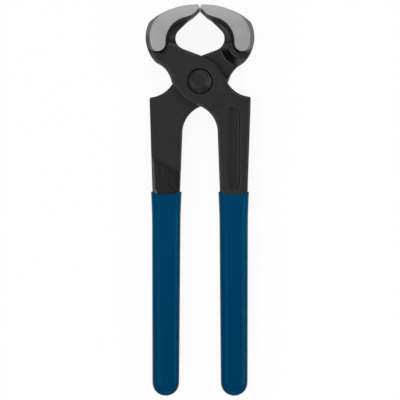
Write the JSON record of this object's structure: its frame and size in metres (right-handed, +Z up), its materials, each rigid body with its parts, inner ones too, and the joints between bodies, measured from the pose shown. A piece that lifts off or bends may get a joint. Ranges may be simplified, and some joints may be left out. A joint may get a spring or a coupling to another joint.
{
  "type": "end cutting nippers",
  "caption": "Carpenters' end cutting nippers: lapped forged levers on a rivet, with curved ground jaws that meet in cutting edges and dipped grips on straight handles.",
  "frame": {"origin": "on the bench plane, under the middle of the overall length and width of the closed tool lying flat", "axes": "+Z up, along the rivet; +Y along the tool from the grips to the jaws; +X across it, to the right in the picture"},
  "size_m": [0.0626, 0.225, 0.023],
  "materials": {
    "forged_steel": "satin",
    "rivet_steel": "satin",
    "grip_coat": "satin"
  },
  "bodies": {
    "rear_half": {"rear_lever": "forged_steel", "pivot_rivet": "rivet_steel", "left_grip": "grip_coat"},
    "front_half": {"front_lever": "forged_steel", "right_grip": "grip_coat"}
  },
  "joints": [
    {"name": "pivot", "type": "hinge", "parent": "rear_half", "child": "front_half", "pos_m": [0, 0.0689, 0.0115], "axis": [0, 0, 1], "range_deg": [0, 38]}
  ]
}
